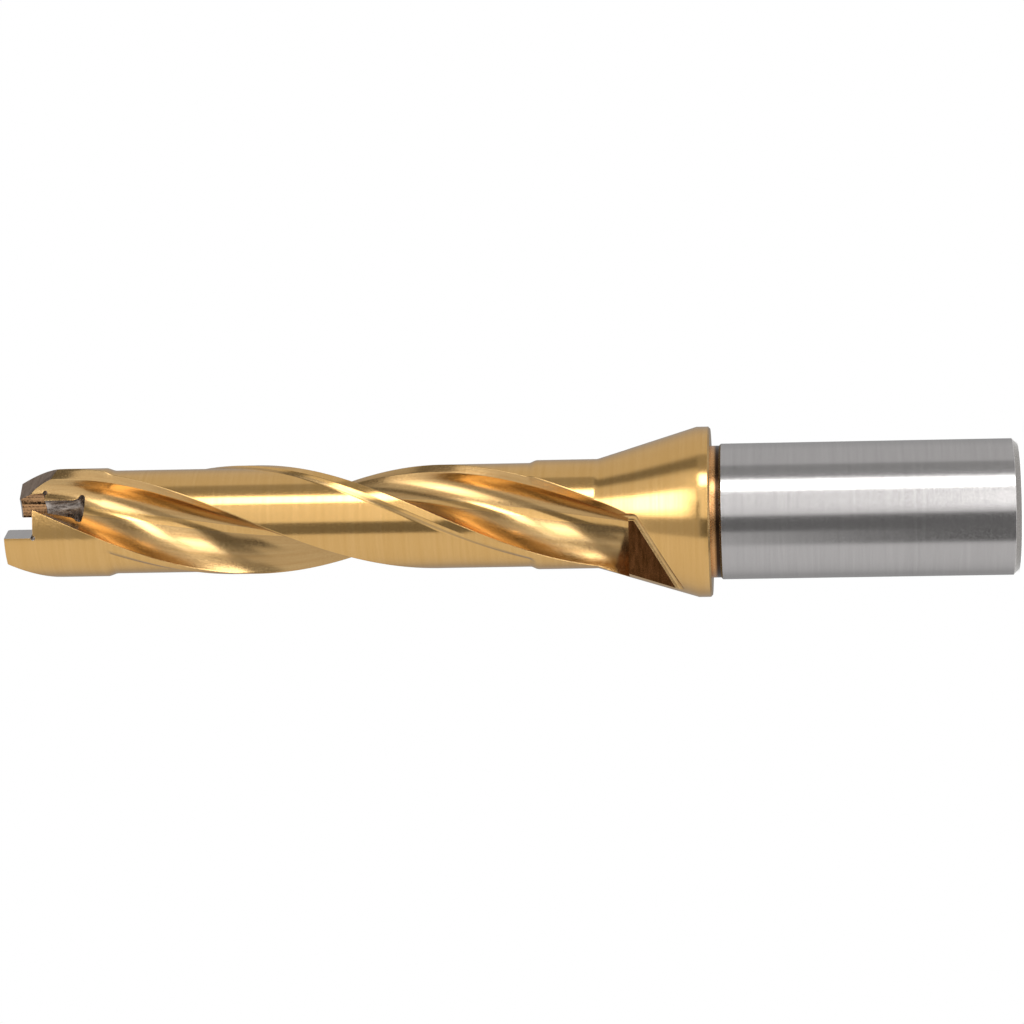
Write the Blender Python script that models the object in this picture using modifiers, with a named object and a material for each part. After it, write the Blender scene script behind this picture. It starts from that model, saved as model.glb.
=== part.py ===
"""Body of an indexable drill: one piece of steel, with an empty seat for an exchangeable head.

The drill stands on the end face of its shank, with its axis on Z and its tip up. Lengths are in
metres. Angles in the section are in degrees from +X, anticlockwise as seen from the tip, and are
given at the tip's plane, because the flutes turn with height.
"""

import math

import bmesh
import bpy
from mathutils import Matrix, Vector

# Shank and the undercut between it and the flange
SHANK_DIAMETER = 0.025
SHANK_LENGTH = 0.056
SHANK_END_CHAMFER = 0.001
SHANK_FRONT_CHAMFER = 0.00035
UNDERCUT_DIAMETER = 0.0243
UNDERCUT_WIDTH = 0.0016

# Flange, cone and the plain stretch behind the relieved lands
FLANGE_DIAMETER = 0.0314
FLANGE_WIDTH = 0.0025
FLANGE_CHAMFER = 0.00035
FLANGE_BEARING_INNER_DIAMETER = 0.0256
FLANGE_FACE_RELIEF = 0.0001
CONE_LENGTH = 0.0184
REAR_LENGTH = 0.0114

# Fluted body, from the cone to the front of the jaws
BODY_DIAMETER = 0.0202
BODY_LENGTH = 0.1094
HEAD_LENGTH = 0.0178
LEAD = 0.140

# Lands: a narrow margin at full diameter, and the rest ground down behind it
LEADING_CORNER_ANGLE = -62.0
MARGIN_ANGLE = 9.0
MARGIN_SLOPE_ANGLE = 6.6
RELIEF_DEPTH = 0.0005
FRONT_RAMP_LENGTH = 0.0014
REAR_RAMP_LENGTH = 0.0011

# Section of a flute: a round floor up to the leading corner, and a steep wall on the heel side
FLUTE_ANGLE = 87.5
FLUTE_LENGTH = 0.1151
WEB_THICKNESS = 0.0064
FLUTE_FLOOR_RADIUS = 0.009
HEEL_RIDGE_RADIUS = 0.0082
HEEL_BEVEL_ANGLE = 4.5
HEEL_WALL_ANGLE = 36.0
HEEL_FILLET = 0.001

# Wider section of the flute beside the seat, which fades into the plain one
GASH_FULL_DEPTH = 0.006
GASH_END_DEPTH = 0.017
GASH_FLOOR_RADIUS = 0.06
GASH_WALL_ANGLE = -4.0
GASH_FILLET = 0.0012

# Milled pocket that ends each flute in the cone: a flat floor and a slanted wall
RUNOUT_TURN = 44.2
RUNOUT_FLOOR_HEIGHT = 0.004
RUNOUT_TOP_SIDE = -0.0001
RUNOUT_LENGTH = 0.0017
RUNOUT_WALL_ANGLE = 58.8
RUNOUT_CORNER_RADIUS = 0.0016
RUNOUT_FILLET = 0.0013

# Seat for the exchangeable head: a turned recess with a bore for the head's stem
SEAT_DEPTH = 0.0054
SEAT_DIAMETER = 0.0118
SEAT_CHAMFER = 0.0003
SEAT_GROOVE_RADIUS = 0.00045
STEM_BORE_DIAMETER = 0.0085
STEM_BORE_DEPTH = 0.0135
STEM_GROOVE_DIAMETER = 0.0104
STEM_GROOVE_WIDTH = 0.0008
STEM_GROOVE_FLARE = 0.0014
STEM_GROOVE_FLARE_BOW = 0.25
STEM_GROOVE_CHAMFER = 0.0003

# Drive face of each jaw, behind the land's leading corner
DRIVE_FACE_BEHIND_CORNER = 50.2
DRIVE_FACE_OFFSET = 0.00113
DRIVE_GROOVE_RADIUS = 0.00045

# Flat ground off the heel corner of each jaw: its turn past the heel, and its lean from the axis
HEEL_FLAT_ANGLE = 16.7
HEEL_FLAT_LEAN = 37.2

# Coolant ducts, one in each land, straight in the shank and turning with the lands
DUCT_DIAMETER = 0.0018
DUCT_CIRCLE_DIAMETER = 0.0146
DUCT_BEHIND_CORNER = 15.0
DUCT_SIDES_RESOLUTION = 2

# Smoothness of the round shapes
TURNED_STEPS = 72
SEAT_STEPS = 48
TWIST_STEP_ANGLE = 6.5
ARC_STEP_ANGLE = 7.5
HEEL_FLOOR_POINTS = 3
HEEL_FILLET_POINTS = 3
RUNOUT_CORNER_STEPS = 4
RUNOUT_FILLET_STEPS = 3
SEAT_GROOVE_STEP_ANGLE = 45.0
DRIVE_GROOVE_SIDES = 12
MERGE_DISTANCE = 0.000001
WELD_DISTANCE = 0.000004

# Room that a cutter takes outside the metal
CUTTER_MARGIN = 0.002
CUTTER_MARGIN_ANGLE = 20.0
SLOPE_OVERRUN = 0.6

# Levels and radii that follow from the sizes above
SHANK_RADIUS = SHANK_DIAMETER / 2
UNDERCUT_RADIUS = UNDERCUT_DIAMETER / 2
FLANGE_RADIUS = FLANGE_DIAMETER / 2
BODY_RADIUS = BODY_DIAMETER / 2
RELIEF_RADIUS = BODY_RADIUS - RELIEF_DEPTH
FLANGE_FRONT = SHANK_LENGTH + FLANGE_WIDTH
CONE_TOP = FLANGE_FRONT + CONE_LENGTH
TIP = CONE_TOP + BODY_LENGTH
SEAT_FLOOR = TIP - SEAT_DEPTH
FLUTE_END = TIP - FLUTE_LENGTH
TWIST_PER_METRE = 360 / LEAD
LAND_ANGLES = (0.0, 180.0)


def polar(radius, degrees):
    """Point of the section at a radius and an angle."""
    return Vector((radius * math.cos(math.radians(degrees)), radius * math.sin(math.radians(degrees))))


def turned_by(degrees):
    """Rotation about the drill's axis."""
    return Matrix.Rotation(math.radians(degrees), 4, "Z")


def arc(centre, radius, start, end, step=ARC_STEP_ANGLE):
    """Points along an arc, both ends included."""
    count = max(2, math.ceil(abs(end - start) / step))
    return [centre + polar(radius, start + (end - start) * i / count) for i in range(count + 1)]


def new_collection(name):
    """Collection linked to the scene."""
    collection = bpy.data.collections.new(name)
    bpy.context.scene.collection.children.link(collection)
    return collection


def add_object(name, mesh, collection, is_cutter=True):
    """Object for a mesh; a cutter shows as wires and isn't rendered."""
    obj = bpy.data.objects.new(name, mesh)
    collection.objects.link(obj)
    if is_cutter:
        obj.hide_render = True
        obj.display_type = "WIRE"
    return obj


def finished(bm, name, collection):
    """Cutter object from a bmesh, with its faces triangulated and turned outward."""
    bmesh.ops.triangulate(bm, faces=bm.faces[:])
    bmesh.ops.recalc_face_normals(bm, faces=bm.faces[:])
    mesh = bpy.data.meshes.new(name)
    bm.to_mesh(mesh)
    bm.free()
    return add_object(name, mesh, collection)


def turned(name, profile, collection, steps, closed=False, is_cutter=True):
    """Solid of revolution from (radius, height) points that run top to bottom on the outside."""
    mesh = bpy.data.meshes.new(name)
    edges = [(i, i + 1) for i in range(len(profile) - 1)]
    if closed:
        edges.append((len(profile) - 1, 0))
    mesh.from_pydata([(radius, 0.0, height) for radius, height in profile], edges, [])
    obj = add_object(name, mesh, collection, is_cutter)
    screw = obj.modifiers.new("Turned", "SCREW")
    screw.axis = "Z"
    screw.steps = steps
    screw.render_steps = steps
    screw.use_merge_vertices = True
    screw.merge_threshold = MERGE_DISTANCE
    screw.use_smooth_shade = True
    return obj


def prism(name, outline, bottom, height, collection, twist=0.0):
    """Solid over a flat outline; twist turns it about the axis, in degrees over its height."""
    steps = max(1, math.ceil(abs(twist) / TWIST_STEP_ANGLE))
    bm = bmesh.new()
    base = bm.faces.new([bm.verts.new((x, y, bottom)) for x, y in outline])
    base.normal_update()
    if base.normal.z > 0:
        base.normal_flip()
    bmesh.ops.spin(
        bm,
        geom=[base, *base.edges, *base.verts],
        cent=(0, 0, 0),
        axis=(0, 0, 1),
        dvec=(0, 0, height / steps),
        angle=math.radians(twist),
        steps=steps,
        use_duplicate=False,
    )
    return finished(bm, name, collection)


def boolean(obj, cutter, operation="DIFFERENCE"):
    """Boolean modifier with the exact solver."""
    modifier = obj.modifiers.new(cutter.name, "BOOLEAN")
    modifier.operation = operation
    modifier.solver = "EXACT"
    modifier.object = cutter


def make_blank(collection):
    """Turned bar: shank, undercut that also relieves the flange's face, flange, cone and body."""
    profile = [
        (0.0, TIP),
        (BODY_RADIUS, TIP),
        (BODY_RADIUS, CONE_TOP),
        (FLANGE_RADIUS, FLANGE_FRONT),
        (FLANGE_RADIUS, SHANK_LENGTH + FLANGE_CHAMFER),
        (FLANGE_RADIUS - FLANGE_CHAMFER, SHANK_LENGTH),
        (FLANGE_BEARING_INNER_DIAMETER / 2, SHANK_LENGTH),
        (UNDERCUT_RADIUS, SHANK_LENGTH + FLANGE_FACE_RELIEF),
        (UNDERCUT_RADIUS, SHANK_LENGTH - UNDERCUT_WIDTH),
        (SHANK_RADIUS - SHANK_FRONT_CHAMFER, SHANK_LENGTH - UNDERCUT_WIDTH),
        (SHANK_RADIUS, SHANK_LENGTH - UNDERCUT_WIDTH - SHANK_FRONT_CHAMFER),
        (SHANK_RADIUS, SHANK_END_CHAMFER),
        (SHANK_RADIUS - SHANK_END_CHAMFER, 0.0),
        (0.0, 0.0),
    ]
    return turned("drill_body", profile, collection, TURNED_STEPS, is_cutter=False)


def heel_side(start, floor_radius, wall_angle, fillet, ridge):
    """Points of a flute's section from its floor, over a fillet, to the heel wall's upper ridge."""
    centre = start + Vector((floor_radius, 0))
    wall = polar(1, wall_angle)
    toward_flute = Vector((wall.y, -wall.x))
    offset = ridge + toward_flute * fillet - centre
    along = offset.dot(wall)
    reach = math.sqrt(along**2 - offset.length_squared + (floor_radius - fillet) ** 2)
    middle = centre + offset - wall * (along + reach)
    from_centre = middle - centre
    foot = math.degrees(math.atan2(from_centre.y, from_centre.x))
    floor = arc(centre, floor_radius, 180, foot, step=(180 - foot) / HEEL_FLOOR_POINTS)
    bend = arc(middle, fillet, foot, wall_angle + 90, step=abs(foot - wall_angle - 90) / HEEL_FILLET_POINTS)
    return [*floor[1:], *bend[1:], ridge]


def flute_section(depth):
    """Section of a flute at a depth below the tip, its middle on +X and its leading corner below."""
    half = FLUTE_ANGLE / 2
    leading_corner = polar(BODY_RADIUS, -half)
    centre_distance = FLUTE_FLOOR_RADIUS + WEB_THICKNESS / 2
    cosine = centre_distance**2 + BODY_RADIUS**2 - FLUTE_FLOOR_RADIUS**2
    cosine /= 2 * centre_distance * BODY_RADIUS
    centre = polar(centre_distance, -half + math.degrees(math.acos(cosine)))
    to_corner = leading_corner - centre
    start = math.degrees(math.atan2(to_corner.y, to_corner.x)) + 360
    floor = arc(centre, FLUTE_FLOOR_RADIUS, start, 180)
    ridge = polar(HEEL_RIDGE_RADIUS, half - HEEL_BEVEL_ANGLE)
    plain = heel_side(floor[-1], FLUTE_FLOOR_RADIUS, HEEL_WALL_ANGLE, HEEL_FILLET, ridge)
    wide = heel_side(floor[-1], GASH_FLOOR_RADIUS, GASH_WALL_ANGLE, GASH_FILLET, ridge)
    fade = (depth - GASH_FULL_DEPTH) / (GASH_END_DEPTH - GASH_FULL_DEPTH)
    fade = min(max(fade, 0), 1)
    heel = [open_point.lerp(point, fade) for open_point, point in zip(wide, plain)]
    reach = FLANGE_RADIUS + CUTTER_MARGIN
    rake = Vector((-to_corner.y, to_corner.x)).normalized()
    leading_end = leading_corner + rake * ((reach - leading_corner.x) / rake.x)
    heel_corner = polar(RELIEF_RADIUS, half)
    heel_end = polar(reach / math.cos(math.radians(half)), half)
    return [leading_end, *floor, *heel, heel_corner, heel_end]


def cut_flutes(body, cutters):
    """Two helical flutes, each lofted through its sections, which end square in the cone."""
    height = FLUTE_LENGTH + CUTTER_MARGIN
    steps = math.ceil(height * TWIST_PER_METRE / TWIST_STEP_ANGLE)
    middle = LEADING_CORNER_ANGLE + FLUTE_ANGLE / 2
    for number, land in enumerate(LAND_ANGLES, 1):
        bm = bmesh.new()
        rings = []
        for i in range(steps + 1):
            level = FLUTE_END + height * i / steps
            turn = turned_by((level - TIP) * TWIST_PER_METRE)
            section = flute_section(TIP - level)
            rings.append([bm.verts.new(turn @ Vector((x, y, level))) for x, y in section])
        for lower, upper in zip(rings, rings[1:]):
            for j in range(len(lower)):
                bm.faces.new((lower[j - 1], lower[j], upper[j], upper[j - 1]))
        bm.faces.new(rings[0])
        bm.faces.new(rings[-1])
        cutter = finished(bm, f"flute_{number}", cutters)
        cutter.matrix_world = turned_by(middle + land)
        boolean(body, cutter)


def relief_outline():
    """Section that clears a land behind its margin, with the leading corner on +X."""
    slope_top = polar(BODY_RADIUS, -MARGIN_ANGLE)
    slope = polar(RELIEF_RADIUS, -MARGIN_ANGLE - MARGIN_SLOPE_ANGLE) - slope_top
    slope_start = slope_top - slope
    slope_end = slope_top + slope * (1 + SLOPE_OVERRUN)
    start = math.degrees(math.atan2(slope_end.y, slope_end.x))
    past_heel = FLUTE_ANGLE - 180 - CUTTER_MARGIN_ANGLE
    inner = arc(Vector((0, 0)), slope_end.length, start, past_heel)
    outer = arc(Vector((0, 0)), BODY_RADIUS + CUTTER_MARGIN, past_heel, 0)
    return [slope_start, *inner, *outer]


def cut_reliefs(body, cutters):
    """Relief of each land: a turned ring with sloping ends, kept only behind the margin."""
    rise = CUTTER_MARGIN / 2
    outer_radius = RELIEF_RADIUS + RELIEF_DEPTH + rise
    front = TIP - HEAD_LENGTH
    rear = CONE_TOP + REAR_LENGTH
    front_slope = FRONT_RAMP_LENGTH / RELIEF_DEPTH
    rear_slope = REAR_RAMP_LENGTH / RELIEF_DEPTH
    ring = [
        (outer_radius, front + rise * front_slope),
        (outer_radius, rear - rise * rear_slope),
        (RELIEF_RADIUS, rear + REAR_RAMP_LENGTH),
        (RELIEF_RADIUS, front - FRONT_RAMP_LENGTH),
    ]
    bottom = ring[1][1] - CUTTER_MARGIN
    height = ring[0][1] + CUTTER_MARGIN - bottom
    corner = LEADING_CORNER_ANGLE - (TIP - bottom) * TWIST_PER_METRE
    outline = relief_outline()
    for number, land in enumerate(LAND_ANGLES, 1):
        cutter = turned(f"relief_{number}", ring, cutters, TURNED_STEPS, closed=True)
        sector = prism(
            f"relief_sector_{number}", outline, bottom, height, cutters, twist=height * TWIST_PER_METRE
        )
        sector.matrix_world = turned_by(corner + land)
        boolean(cutter, sector, "INTERSECT")
        boolean(body, cutter)


def cut_runouts(body, cutters):
    """Flat-floored pocket at the end of each flute, milled square to its floor."""
    reach = FLANGE_RADIUS + CUTTER_MARGIN
    wall_slope = math.radians(RUNOUT_WALL_ANGLE)
    corner_height = FLUTE_END - RUNOUT_LENGTH
    run = reach + RUNOUT_TOP_SIDE
    outline = [
        (RUNOUT_TOP_SIDE, corner_height),
        (-reach, corner_height - run / math.tan(wall_slope)),
        (-reach, FLUTE_END + CUTTER_MARGIN),
        (RUNOUT_TOP_SIDE, FLUTE_END + CUTTER_MARGIN),
    ]
    half_corner = (math.pi - wall_slope) / 2
    facing = LEADING_CORNER_ANGLE + FLUTE_ANGLE / 2 - FLUTE_LENGTH * TWIST_PER_METRE + RUNOUT_TURN
    for number, land in enumerate(LAND_ANGLES, 1):
        bm = bmesh.new()
        floor = bm.faces.new([bm.verts.new((RUNOUT_FLOOR_HEIGHT, y, z)) for y, z in outline])
        corner = floor.verts[:][0]
        top = bmesh.ops.extrude_face_region(bm, geom=[floor])["geom"]
        top_verts = [item for item in top if isinstance(item, bmesh.types.BMVert)]
        bmesh.ops.translate(bm, verts=top_verts, vec=(reach - RUNOUT_FLOOR_HEIGHT, 0, 0))
        upright = [edge for edge in corner.link_edges if edge.other_vert(corner).co.x > corner.co.x]
        bmesh.ops.bevel(
            bm,
            geom=upright,
            offset=RUNOUT_CORNER_RADIUS / math.tan(half_corner),
            offset_type="OFFSET",
            segments=RUNOUT_CORNER_STEPS,
            profile=0.5,
            affect="EDGES",
        )
        floor_edges = [
            edge for edge in bm.edges
            if all(abs(vert.co.x - RUNOUT_FLOOR_HEIGHT) < MERGE_DISTANCE for vert in edge.verts)
        ]
        bmesh.ops.bevel(
            bm,
            geom=floor_edges,
            offset=RUNOUT_FILLET,
            offset_type="OFFSET",
            segments=RUNOUT_FILLET_STEPS,
            profile=0.5,
            affect="EDGES",
        )
        cutter = finished(bm, f"runout_{number}", cutters)
        cutter.matrix_world = turned_by(facing + land)
        boolean(body, cutter)


def cut_seat(body, cutters):
    """Round recess, stem bore with its end groove, and the open side in front of each drive face."""
    seat_radius = SEAT_DIAMETER / 2
    stem_radius = STEM_BORE_DIAMETER / 2
    groove_radius = STEM_GROOVE_DIAMETER / 2
    flare_radius = stem_radius + (groove_radius - stem_radius) * STEM_GROOVE_FLARE_BOW
    above = TIP + CUTTER_MARGIN
    bore_end = TIP - STEM_BORE_DEPTH
    groove_top = bore_end + STEM_GROOVE_WIDTH
    profile = [
        (0.0, above),
        (seat_radius + SEAT_CHAMFER + CUTTER_MARGIN, above),
        (seat_radius, TIP - SEAT_CHAMFER),
        (seat_radius, SEAT_FLOOR + SEAT_GROOVE_RADIUS),
        *arc(Vector((seat_radius, SEAT_FLOOR)), SEAT_GROOVE_RADIUS, 90, -180, SEAT_GROOVE_STEP_ANGLE)[1:],
        (stem_radius, SEAT_FLOOR),
        (stem_radius, groove_top + STEM_GROOVE_FLARE),
        (flare_radius, groove_top + STEM_GROOVE_FLARE / 2),
        (groove_radius, groove_top),
        (groove_radius, bore_end + STEM_GROOVE_CHAMFER),
        (groove_radius - STEM_GROOVE_CHAMFER, bore_end),
        (0.0, bore_end),
    ]
    boolean(body, turned("seat", profile, cutters, SEAT_STEPS))
    reach = BODY_RADIUS + CUTTER_MARGIN
    over_groove = seat_radius - SEAT_GROOVE_RADIUS / 2
    start = math.degrees(math.asin(DRIVE_FACE_OFFSET / over_groove))
    outline = [
        *arc(Vector((0, 0)), over_groove, 90, start),
        (reach, DRIVE_FACE_OFFSET),
        (reach, reach),
        (0, reach),
    ]
    groove_start = math.sqrt(seat_radius**2 - DRIVE_FACE_OFFSET**2)
    groove_length = reach - groove_start
    for number, land in enumerate(LAND_ANGLES, 1):
        place = turned_by(LEADING_CORNER_ANGLE - DRIVE_FACE_BEHIND_CORNER + land)
        side = prism(f"drive_side_{number}", outline, SEAT_FLOOR, above - SEAT_FLOOR, cutters)
        side.matrix_world = place
        boolean(body, side)
        bpy.ops.mesh.primitive_cylinder_add(
            vertices=DRIVE_GROOVE_SIDES, radius=DRIVE_GROOVE_RADIUS, depth=groove_length
        )
        groove = bpy.context.object
        groove.name = f"drive_groove_{number}"
        lying = Matrix.Rotation(math.radians(90), 4, "Y")
        middle = (groove_start + groove_length / 2, DRIVE_FACE_OFFSET, SEAT_FLOOR)
        groove.matrix_world = place @ Matrix.Translation(middle) @ lying
        as_cutter(groove, cutters)
        boolean(body, groove)


def cut_heel_flats(body, cutters):
    """Slanted flat over the heel corner of each jaw, through the axis at the tip's plane."""
    size = 2 * BODY_DIAMETER
    inner_side = WEB_THICKNESS / 2
    heel = LEADING_CORNER_ANGLE + FLUTE_ANGLE
    for number, land in enumerate(LAND_ANGLES, 1):
        bpy.ops.mesh.primitive_cube_add(size=size)
        cutter = bpy.context.object
        cutter.name = f"heel_flat_{number}"
        lean = Matrix.Rotation(math.radians(90 - HEEL_FLAT_LEAN), 4, "X")
        place = Matrix.Translation((0, 0, TIP)) @ turned_by(heel + HEEL_FLAT_ANGLE + land) @ lean
        cutter.matrix_world = place @ Matrix.Translation((inner_side + size / 2, 0, size / 2))
        as_cutter(cutter, cutters)
        boolean(body, cutter)


def cut_ducts(body, cutters):
    """Coolant ducts from the shank's end to the floor of the seat."""
    radius = DUCT_CIRCLE_DIAMETER / 2
    angle_at_seat = LEADING_CORNER_ANGLE - SEAT_DEPTH * TWIST_PER_METRE - DUCT_BEHIND_CORNER
    turning_height = SEAT_FLOOR - FLUTE_END + CUTTER_MARGIN
    count = math.ceil(turning_height * TWIST_PER_METRE / TWIST_STEP_ANGLE)
    for number, land in enumerate(LAND_ANGLES, 1):
        points = []
        for i in range(count + 1):
            height = FLUTE_END + turning_height * i / count
            point = polar(radius, angle_at_seat + land + (height - SEAT_FLOOR) * TWIST_PER_METRE)
            points.append((point.x, point.y, height))
        points.insert(0, (points[0][0], points[0][1], -CUTTER_MARGIN))
        curve = bpy.data.curves.new(f"duct_{number}", "CURVE")
        curve.dimensions = "3D"
        curve.bevel_depth = DUCT_DIAMETER / 2
        curve.bevel_resolution = DUCT_SIDES_RESOLUTION
        curve.use_fill_caps = True
        spline = curve.splines.new("POLY")
        spline.points.add(len(points) - 1)
        for spline_point, point in zip(spline.points, points):
            spline_point.co = (*point, 1)
        guide = bpy.data.objects.new(f"duct_{number}", curve)
        cutters.objects.link(guide)
        boolean(body, meshed(guide, cutters))


def as_cutter(obj, collection):
    """Move an object to the cutters, shown as wires and not rendered."""
    for owner in list(obj.users_collection):
        owner.objects.unlink(obj)
    collection.objects.link(obj)
    obj.hide_render = True
    obj.display_type = "WIRE"


def meshed(curve_object, collection):
    """Closed mesh object in place of a curve object, with its caps welded on."""
    name = curve_object.name
    evaluated = curve_object.evaluated_get(bpy.context.evaluated_depsgraph_get())
    mesh = bpy.data.meshes.new_from_object(evaluated)
    bm = bmesh.new()
    bm.from_mesh(mesh)
    bmesh.ops.remove_doubles(bm, verts=bm.verts[:], dist=MERGE_DISTANCE)
    bpy.data.objects.remove(curve_object, do_unlink=True)
    return finished(bm, name, collection)


def weld(obj):
    """Join the points that the cuts leave closer together than a real edge is sharp."""
    modifier = obj.modifiers.new("Weld", "WELD")
    modifier.merge_threshold = WELD_DISTANCE


def coat(obj):
    """Titanium nitride, the gold ceramic film on the body."""
    material = bpy.data.materials.new("Titanium nitride on steel")
    material.use_nodes = True
    shader = material.node_tree.nodes["Principled BSDF"]
    shader.inputs["Base Color"].default_value = (0.68, 0.42, 0.14, 1.0)
    shader.inputs["Metallic"].default_value = 1.0
    shader.inputs["Roughness"].default_value = 0.28
    obj.data.materials.append(material)


def main():
    """Build the drill in an empty scene."""
    for obj in list(bpy.data.objects):
        bpy.data.objects.remove(obj, do_unlink=True)
    parts = new_collection("Indexable drill")
    cutters = new_collection("Cutters")
    body = make_blank(parts)
    cut_flutes(body, cutters)
    cut_reliefs(body, cutters)
    cut_runouts(body, cutters)
    cut_seat(body, cutters)
    cut_heel_flats(body, cutters)
    cut_ducts(body, cutters)
    weld(body)
    coat(body)


main()
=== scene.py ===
"""Looks of an indexable drill's body, which stands on its shank: a gold coated, fluted steel body
with an empty seat between two jaws, and a bare ground shank.

Lengths are in metres. Angles in the section are in degrees, anticlockwise as seen from the tip.
"""

import math

import bmesh
import bpy
from mathutils import Matrix, Vector


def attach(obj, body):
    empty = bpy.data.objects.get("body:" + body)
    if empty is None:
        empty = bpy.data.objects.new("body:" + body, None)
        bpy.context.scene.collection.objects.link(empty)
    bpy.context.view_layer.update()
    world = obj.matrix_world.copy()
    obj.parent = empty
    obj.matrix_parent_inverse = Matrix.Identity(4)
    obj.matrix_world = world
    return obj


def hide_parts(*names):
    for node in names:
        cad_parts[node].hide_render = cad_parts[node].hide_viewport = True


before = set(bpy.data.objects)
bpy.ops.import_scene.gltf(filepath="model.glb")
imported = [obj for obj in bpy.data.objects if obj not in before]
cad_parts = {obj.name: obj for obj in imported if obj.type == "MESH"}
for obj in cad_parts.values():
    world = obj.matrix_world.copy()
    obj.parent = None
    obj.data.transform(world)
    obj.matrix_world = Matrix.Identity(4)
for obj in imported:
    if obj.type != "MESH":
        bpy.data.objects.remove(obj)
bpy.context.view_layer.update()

# Fluted body: a bar of tool steel, turned, ground along two helical flutes, and coated gold. Its
# section turns with height, so Geometry Nodes carry one outline up the bar. Each point of the
# outline holds how it moves where the lands are relieved, in the cone and beside the seat. In the
# cone the leading corner moves out along the rake, which fades out in the land behind it.
TIP = 0.1863
BODY_RADIUS = 0.0101
LEAD = 0.140
TWIST = 360 / LEAD
FLUTE_LENGTH = 0.1151
FLUTE_END = TIP - FLUTE_LENGTH
FLUTE_ANGLE = 87.5
LEADING_CORNER_ANGLE = -62.0
LEADING_EDGE_ROUNDING = 0.00005
WEB_THICKNESS = 0.0064
RAKE_ANGLE = -32.9
RAKE_FADE_ANGLE = 12.0

# Floor of a flute: a round bottom, turned a little off the flute's middle, and a flatter arc from
# there to the leading corner
FLOOR_RADIUS = 0.00483
FLOOR_TURN = 3.6
FLANK_END_ANGLE = 13.0

# Heel: a steep wall up to a ridge and a bevel up to the land. Beside the seat the floor widens into
# a flat gash, whole down to the first depth below the tip and gone at the second.
HEEL_RIDGE_RADIUS = 0.0082
HEEL_BEVEL_ANGLE = 4.5
HEEL_EDGE_ROUNDING = 0.00012
GASH_FULL_DEPTH = 0.006
GASH_END_DEPTH = 0.017
GASH_FILLET = 0.0026
GASH_RISE = 0.00002

# Land: a round margin beside the leading corner, a slope down from it and a relieved back. The full
# width starts again near the tip and above the cone, with a ramp up to each.
MARGIN_ANGLE = 9.0
MARGIN_SLOPE_ANGLE = 6.6
RELIEF_DEPTH = 0.0005
HEAD_LENGTH = 0.0178
FRONT_RAMP_LENGTH = 0.0014
REAR_LENGTH = 0.0114
REAR_RAMP_LENGTH = 0.0011
LAND_START_ANGLE = 1.2
NEXT_POINT_ANGLE = 0.5

# Cone that the lands widen into, and the flange below it
CONE_LENGTH = 0.0184
FLANGE_RADIUS = 0.0157
FLANGE_WIDTH = 0.0025
SHANK_LENGTH = 0.056
FLANGE_FRONT = SHANK_LENGTH + FLANGE_WIDTH
CONE_TOP = FLANGE_FRONT + CONE_LENGTH
CONE_SLOPE = (FLANGE_RADIUS - BODY_RADIUS) / CONE_LENGTH

# Steps in each run of the outline. The gash has as many points as the bottom that it takes over.
FLANK_STEPS = 22
FLOOR_STEPS = 6
BOTTOM_STEPS = 20
GASH_FLAT_STEPS = 5
GASH_BEND_STEPS = BOTTOM_STEPS - GASH_FLAT_STEPS
WALL_SHARES = (0.33, 0.67)
BEVEL_SHARES = (0.25, 0.5, 0.75)
SLOPE_SHARES = (0.08, 0.5, 0.92)
MARGIN_SHARES = (0.0, 0.04, 0.5, 0.96)
LEADING_EDGE_STEPS = 4
HEEL_EDGE_STEPS = 3
LAND_STEPS = 36
FLUTE_LEVELS = 280


def polar(radius, degrees):
    """Point of the section at a radius and an angle."""
    return Vector((radius * math.cos(math.radians(degrees)), radius * math.sin(math.radians(degrees))))


def direction_of(vector):
    """Angle of a vector in the section, in degrees."""
    return math.degrees(math.atan2(vector.y, vector.x))


def arc(centre, radius, start, end, count):
    """Points along an arc, both ends included."""
    return [centre + polar(radius, start + (end - start) * i / count) for i in range(count + 1)]


def rounded(before, corner, after, radius, count):
    """Points of a small arc in place of a corner between two straight runs."""
    back = (before - corner).normalized()
    on = (after - corner).normalized()
    half_angle = math.acos(back.dot(on)) / 2
    centre = corner + (back + on).normalized() * radius / math.sin(half_angle)
    start = direction_of(corner + back * radius / math.tan(half_angle) - centre)
    sweep = direction_of(corner + on * radius / math.tan(half_angle) - centre) - start
    sweep = (sweep + 180) % 360 - 180
    return arc(centre, radius, start, start + sweep, count)


def tangent_from(point, centre, radius):
    """Angle, seen from a circle's centre, at which a line from an outer point touches it."""
    offset = point - centre
    return direction_of(offset) + math.degrees(math.acos(radius / offset.length))


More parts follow.
